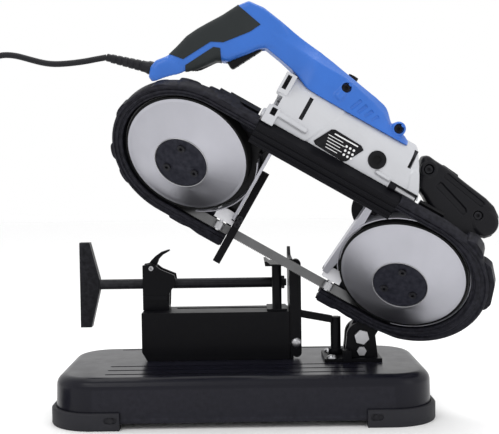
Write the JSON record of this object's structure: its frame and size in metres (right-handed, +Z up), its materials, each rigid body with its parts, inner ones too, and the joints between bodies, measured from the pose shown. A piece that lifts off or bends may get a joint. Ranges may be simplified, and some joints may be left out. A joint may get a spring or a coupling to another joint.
{
  "type": "horizontal band saw",
  "caption": "Portable deep-cut band saw tilting on a hinge above a pressed bench base, with a screw vise that holds stock under the twisted band.",
  "frame": {"origin": "middle of the base on the floor plane", "axes": "+X along the base towards the hinge, +Y away from the operator, +Z up"},
  "size_m": [0.746, 0.268, 0.5257],
  "materials": {
    "black_paint": "satin black powder coat",
    "foot_rubber": "matt",
    "zinc_steel": "bright zinc",
    "black_steel": "black oxide",
    "cast_aluminium": "fine cast, silver lacquer",
    "wheel_metal": "lathe-turned satin",
    "tyre_rubber": "matt",
    "guard_plastic": "moulded satin",
    "blade_steel": "ground",
    "blue_plastic": "satin moulded",
    "grip_rubber": "soft overmould",
    "black_plastic": "moulded",
    "cord_rubber": "satin",
    "motor_steel": "machined"
  },
  "bodies": {
    "stand": {"base_pan": "black_paint", "corner_feet": "foot_rubber", "feet_screws": "zinc_steel", "vise_bed": "black_paint", "stand_bolts": "zinc_steel", "screw_bracket": "black_paint", "bracket_pin": "zinc_steel", "fixed_jaw": "black_paint", "jaw_brace": "black_paint", "stop_post": "black_paint", "hinge_bracket": "black_paint", "hinge_bolt": "zinc_steel", "cord_tube": "cord_rubber", "cord_coil": "cord_rubber", "mains_plug": "black_plastic"},
    "release": {"release_lever": "black_paint"},
    "jaw": {"movable_jaw": "black_paint", "jaw_keeper": "zinc_steel"},
    "screw": {"vise_screw": "black_steel", "t_handle": "black_paint", "screw_end_nut": "zinc_steel"},
    "head": {"head_frame": "cast_aluminium", "hinge_lug": "black_paint", "left_guard": "guard_plastic", "top_rail": "guard_plastic", "right_guard": "guard_plastic", "guide_blocks": "cast_aluminium", "work_stop": "black_steel", "socket_screws": "black_steel", "blade": "blade_steel", "motor_housing": "cast_aluminium", "gear_case": "cast_aluminium", "shell_front": "blue_plastic", "shell_rear": "blue_plastic", "grip_rubber": "grip_rubber", "spec_plate": "black_plastic", "brush_caps": "black_plastic", "front_handle": "guard_plastic", "switch_body": "black_plastic", "stator": "motor_steel", "strain_relief": "cord_rubber"},
    "trigger": {"trigger": "black_plastic"},
    "dial": {"speed_dial": "black_plastic"},
    "armature": {"armature": "motor_steel"},
    "lay_shaft": {"lay_gear": "motor_steel"},
    "drive": {"drive_gear": "motor_steel", "drive_wheel": "wheel_metal", "drive_tyre": "tyre_rubber", "drive_hub_plate": "black_steel", "drive_hub_screws": "black_steel"},
    "carriage": {"tension_carriage": "zinc_steel"},
    "idler": {"idler_wheel": "wheel_metal", "idler_tyre": "tyre_rubber", "idler_hub_plate": "black_steel", "idler_hub_screws": "black_steel"},
    "tension": {"tension_lever": "black_paint"},
    "left_front": {"left_front_roller": "zinc_steel"},
    "left_rear": {"left_rear_roller": "zinc_steel"},
    "right_front": {"right_front_roller": "zinc_steel"},
    "right_rear": {"right_rear_roller": "zinc_steel"}
  },
  "joints": [
    {"name": "head_tilt", "type": "hinge", "parent": "stand", "child": "head", "pos_m": [0.158, 0, 0.095], "axis": [0, 1, 0], "range_deg": [-30, 12]},
    {"name": "armature_spin", "type": "hinge", "parent": "head", "child": "armature", "pos_m": [0.12855, -0.092, 0.35299], "axis": [0.866, 0, -0.5], "continuous": true},
    {"name": "lay_spin", "type": "hinge", "parent": "head", "child": "lay_shaft", "pos_m": [0.18206, -0.07758, 0.26967], "axis": [-0.3023, -0.7965, -0.5236], "continuous": true},
    {"name": "drive_spin", "type": "hinge", "parent": "head", "child": "drive", "pos_m": [0.20295, -0.078, 0.18186], "axis": [-0.3023, -0.7965, -0.5236], "continuous": true},
    {"name": "carriage_slide", "type": "slide", "parent": "head", "child": "carriage", "axis": [0.866, 0, -0.5], "range_m": [0, 0.006]},
    {"name": "idler_spin", "type": "hinge", "parent": "carriage", "child": "idler", "pos_m": [-0.06811, -0.078, 0.33836], "axis": [-0.3023, -0.7965, -0.5236], "continuous": true},
    {"name": "tension_turn", "type": "hinge", "parent": "head", "child": "tension", "pos_m": [-0.01401, -0.0541, 0.32807], "axis": [-0.3023, -0.7965, -0.5236], "range_deg": [-90, 0]},
    {"name": "trigger_pull", "type": "slide", "parent": "head", "child": "trigger", "axis": [-0.5299, 0, 0.848], "range_m": [0, 0.006], "stiffness_N_per_m": 600, "springref_m": -0.003},
    {"name": "dial_turn", "type": "hinge", "parent": "head", "child": "dial", "pos_m": [0.1388, -0.092, 0.42675], "axis": [0.5, 0, 0.866], "range_deg": [0, 270]},
    {"name": "jaw_slide", "type": "slide", "parent": "stand", "child": "jaw", "axis": [1, 0, 0], "range_m": [-0.11, 0.001]},
    {"name": "screw_turn", "type": "hinge", "parent": "jaw", "child": "screw", "pos_m": [0, 0.05, 0.163], "axis": [1, 0, 0], "range_deg": [-9900, 90]},
    {"name": "release_lift", "type": "hinge", "parent": "stand", "child": "release", "pos_m": [-0.126, 0.05, 0.186], "axis": [0, 1, 0], "range_deg": [-35, 0]},
    {"name": "left_front_spin", "type": "hinge", "parent": "head", "child": "left_front", "pos_m": [-0.0297, -0.02823, 0.2469], "axis": [0.5, 0, 0.866], "continuous": true},
    {"name": "left_rear_spin", "type": "hinge", "parent": "head", "child": "left_rear", "pos_m": [-0.0297, -0.01377, 0.2469], "axis": [0.5, 0, 0.866], "continuous": true},
    {"name": "right_front_spin", "type": "hinge", "parent": "head", "child": "right_front", "pos_m": [0.11233, -0.02823, 0.1649], "axis": [0.5, 0, 0.866], "continuous": true},
    {"name": "right_rear_spin", "type": "hinge", "parent": "head", "child": "right_rear", "pos_m": [0.11233, -0.01377, 0.1649], "axis": [0.5, 0, 0.866], "continuous": true}
  ],
  "couplings": [
    {"joint": "lay_spin", "follows": "armature_spin", "ratio": 0.033333},
    {"joint": "drive_spin", "follows": "armature_spin", "ratio": -0.009676},
    {"joint": "idler_spin", "follows": "armature_spin", "ratio": -0.009676},
    {"joint": "tension_turn", "follows": "carriage_slide", "rad_per_m": -261.8},
    {"joint": "jaw_slide", "follows": "screw_turn", "m_per_rad": 0.00063662},
    {"joint": "left_front_spin", "follows": "armature_spin", "ratio": 0.12266},
    {"joint": "left_rear_spin", "follows": "armature_spin", "ratio": -0.12266},
    {"joint": "right_front_spin", "follows": "armature_spin", "ratio": 0.12266},
    {"joint": "right_rear_spin", "follows": "armature_spin", "ratio": -0.12266}
  ]
}
